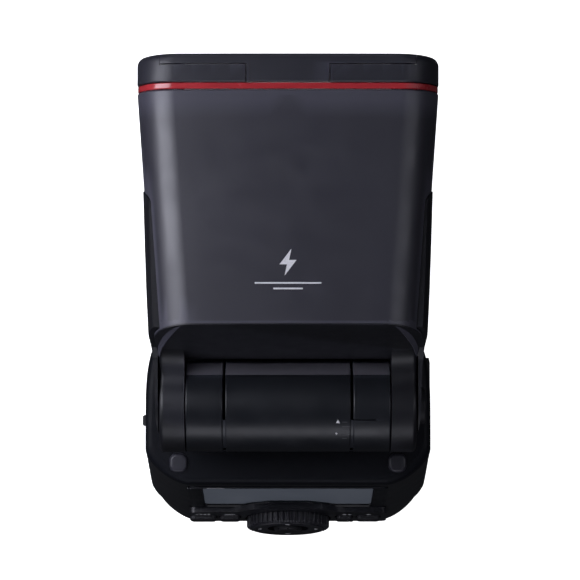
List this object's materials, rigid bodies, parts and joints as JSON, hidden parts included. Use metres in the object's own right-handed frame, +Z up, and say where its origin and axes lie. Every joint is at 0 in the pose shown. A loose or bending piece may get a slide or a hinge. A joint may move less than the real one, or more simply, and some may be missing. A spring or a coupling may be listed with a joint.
{
  "type": "speedlight flash",
  "caption": "Camera-top flash with a tilting, swivelling head, rear control panel with dial, pull-out panels and a standard shoe foot.",
  "frame": {"origin": "centre of the shoe foot's bottom face, under the swivel axis", "axes": "+Z up along the swivel axis, +Y the way the light goes, +X the user's right seen from behind"},
  "size_m": [0.0858, 0.1364, 0.149],
  "materials": {
    "case_black": "fine satin grain",
    "head_charcoal": "satin",
    "dark_plastic": "satin",
    "panel_gloss": "semi gloss",
    "dial_rubber": "knurled",
    "red_band": "gloss",
    "shoe_metal": "brushed",
    "contact_brass": "plated",
    "reflector": "mirror",
    "lens_clear": "ribbed clear",
    "card_white": "matte",
    "screen_glass": "polished",
    "screen_module": "satin",
    "tube_glass": "clear",
    "red_lens": "dark translucent",
    "circuit": "coated",
    "capacitor": "sleeved"
  },
  "bodies": {
    "body": {"body_front_case": "case_black", "body_rear_case": "case_black", "top_deck": "case_black", "bottom_plate": "case_black", "foot_base": "case_black", "shoe_plate": "shoe_metal", "contact_block": "contact_brass", "foot_screw_1": "shoe_metal", "foot_screw_2": "shoe_metal", "foot_screw_3": "shoe_metal", "foot_screw_4": "shoe_metal", "battery_pack": "dark_plastic", "main_board": "circuit", "main_capacitor": "capacitor", "lcd_module": "screen_module", "lcd_window": "screen_glass", "control_plate": "panel_gloss", "af_window": "red_lens", "af_lamp_module": "dark_plastic", "sync_terminal": "contact_brass", "dial_encoder": "dark_plastic"},
    "swivel": {"swivel_base": "dark_plastic", "barrel_cover_left": "dark_plastic", "barrel_cover_right": "dark_plastic", "swivel_clip_ring": "shoe_metal"},
    "head": {"head_top_cover": "head_charcoal", "head_bottom_cover": "case_black", "red_ring": "red_band", "front_collar": "case_black", "lens_frame": "case_black", "fresnel_lens": "lens_clear", "side_panel_left": "dark_plastic", "side_panel_right": "dark_plastic", "head_ear_left": "dark_plastic", "head_ear_right": "dark_plastic", "hinge_shaft": "shoe_metal", "zoom_motor": "shoe_metal", "guide_rod": "shoe_metal", "fan_frame": "dark_plastic"},
    "bounce_lock": {"bounce_lock_button": "dark_plastic"},
    "catchlight": {"catchlight_panel": "card_white"},
    "wide": {"wide_panel": "lens_clear"},
    "zoom_carriage": {"zoom_reflector": "reflector", "flash_tube": "tube_glass"},
    "screw": {"lead_screw": "shoe_metal"},
    "fan": {"fan_rotor": "dark_plastic"},
    "dial": {"select_dial": "dial_rubber"},
    "joystick_press": {"joystick_stem": "dark_plastic"},
    "joystick_rock": {"joystick_gimbal": "dark_plastic"},
    "joystick": {"joystick_cap": "dark_plastic"},
    "mode_button": {"button_mode": "dark_plastic"},
    "menu_button": {"button_menu": "dark_plastic"},
    "zoom_button": {"button_zoom": "dark_plastic"},
    "test_button": {"button_test": "dark_plastic"},
    "power": {"power_switch": "dark_plastic"},
    "door": {"battery_door": "case_black"},
    "flap": {"terminal_cover": "dial_rubber"},
    "lock_lever": {"foot_lock_lever": "dark_plastic"},
    "lock_release": {"lock_release_button": "dark_plastic"},
    "pin": {"lock_pin": "shoe_metal"}
  },
  "joints": [
    {"name": "pan", "type": "hinge", "parent": "body", "child": "swivel", "pos_m": [0, 0, 0.09], "axis": [0, 0, 1], "range_deg": [-180, 180]},
    {"name": "tilt", "type": "hinge", "parent": "swivel", "child": "head", "pos_m": [0, 0, 0.11], "axis": [1, 0, 0], "range_deg": [-7, 120]},
    {"name": "bounce_lock_press", "type": "slide", "parent": "head", "child": "bounce_lock", "axis": [-1, 0, 0], "range_m": [0, 0.0015], "stiffness_N_per_m": 300, "springref_m": -0.001},
    {"name": "catchlight_pull", "type": "slide", "parent": "head", "child": "catchlight", "axis": [0, 1, 0], "range_m": [0, 0.042]},
    {"name": "wide_pull", "type": "slide", "parent": "head", "child": "wide", "axis": [0, 1, 0], "range_m": [0, 0.042]},
    {"name": "zoom", "type": "slide", "parent": "head", "child": "zoom_carriage", "axis": [0, -1, 0], "range_m": [0, 0.024]},
    {"name": "lead_screw_turn", "type": "hinge", "parent": "head", "child": "screw", "pos_m": [0.031, 0.0313, 0.11], "axis": [0, 1, 0], "range_deg": [0, 1442]},
    {"name": "fan_spin", "type": "hinge", "parent": "head", "child": "fan", "pos_m": [-0.014, 0.0254, 0.121], "axis": [0, 1, 0], "continuous": true},
    {"name": "dial_turn", "type": "hinge", "parent": "body", "child": "dial", "pos_m": [0, -0.03325, 0.03797], "axis": [0, -0.977, 0.213], "continuous": true},
    {"name": "joystick_push", "type": "slide", "parent": "body", "child": "joystick_press", "axis": [0, 0.977, -0.213], "range_m": [0, 0.0006], "stiffness_N_per_m": 300, "springref_m": -0.001},
    {"name": "joystick_up_down", "type": "hinge", "parent": "joystick_press", "child": "joystick_rock", "pos_m": [0, -0.03408, 0.03815], "axis": [1, 0, 0], "range_deg": [-6, 6], "stiffness_Nm_per_rad": 0.02},
    {"name": "joystick_left_right", "type": "hinge", "parent": "joystick_rock", "child": "joystick", "pos_m": [0, -0.03467, 0.03828], "axis": [0, 0.213, 0.977], "range_deg": [-6, 6], "stiffness_Nm_per_rad": 0.02},
    {"name": "mode_press", "type": "slide", "parent": "body", "child": "mode_button", "axis": [0, 0.977, -0.213], "range_m": [0, 0.0008], "stiffness_N_per_m": 300, "springref_m": -0.001},
    {"name": "menu_press", "type": "slide", "parent": "body", "child": "menu_button", "axis": [0, 0.977, -0.213], "range_m": [0, 0.0008], "stiffness_N_per_m": 300, "springref_m": -0.001},
    {"name": "zoom_press", "type": "slide", "parent": "body", "child": "zoom_button", "axis": [0, 0.977, -0.213], "range_m": [0, 0.0008], "stiffness_N_per_m": 300, "springref_m": -0.001},
    {"name": "test_press", "type": "slide", "parent": "body", "child": "test_button", "axis": [0, 0.977, -0.213], "range_m": [0, 0.0008], "stiffness_N_per_m": 300, "springref_m": -0.001},
    {"name": "power_slide", "type": "slide", "parent": "body", "child": "power", "axis": [1, 0, 0], "range_m": [0, 0.005]},
    {"name": "battery_door_swing", "type": "hinge", "parent": "body", "child": "door", "pos_m": [0.0411, 0.0136, 0.0485], "axis": [0, 0, 1], "range_deg": [0, 110]},
    {"name": "terminal_cover_swing", "type": "hinge", "parent": "body", "child": "flap", "pos_m": [-0.04155, 0.0079, 0.063], "axis": [0, 0, -1], "range_deg": [0, 110]},
    {"name": "foot_lock", "type": "hinge", "parent": "body", "child": "lock_lever", "pos_m": [0, 0, 0.01075], "axis": [0, 0, 1], "range_deg": [0, 40]},
    {"name": "lock_release_press", "type": "slide", "parent": "lock_lever", "child": "lock_release", "axis": [0, 1, 0], "range_m": [0, 0.0012], "stiffness_N_per_m": 300, "springref_m": -0.001},
    {"name": "lock_pin_drop", "type": "slide", "parent": "body", "child": "pin", "axis": [0, 0, -1], "range_m": [0, 0.0016]}
  ],
  "couplings": [
    {"joint": "lead_screw_turn", "follows": "zoom", "rad_per_m": 1047.2},
    {"joint": "lock_pin_drop", "follows": "foot_lock", "m_per_rad": 0.0022917}
  ]
}
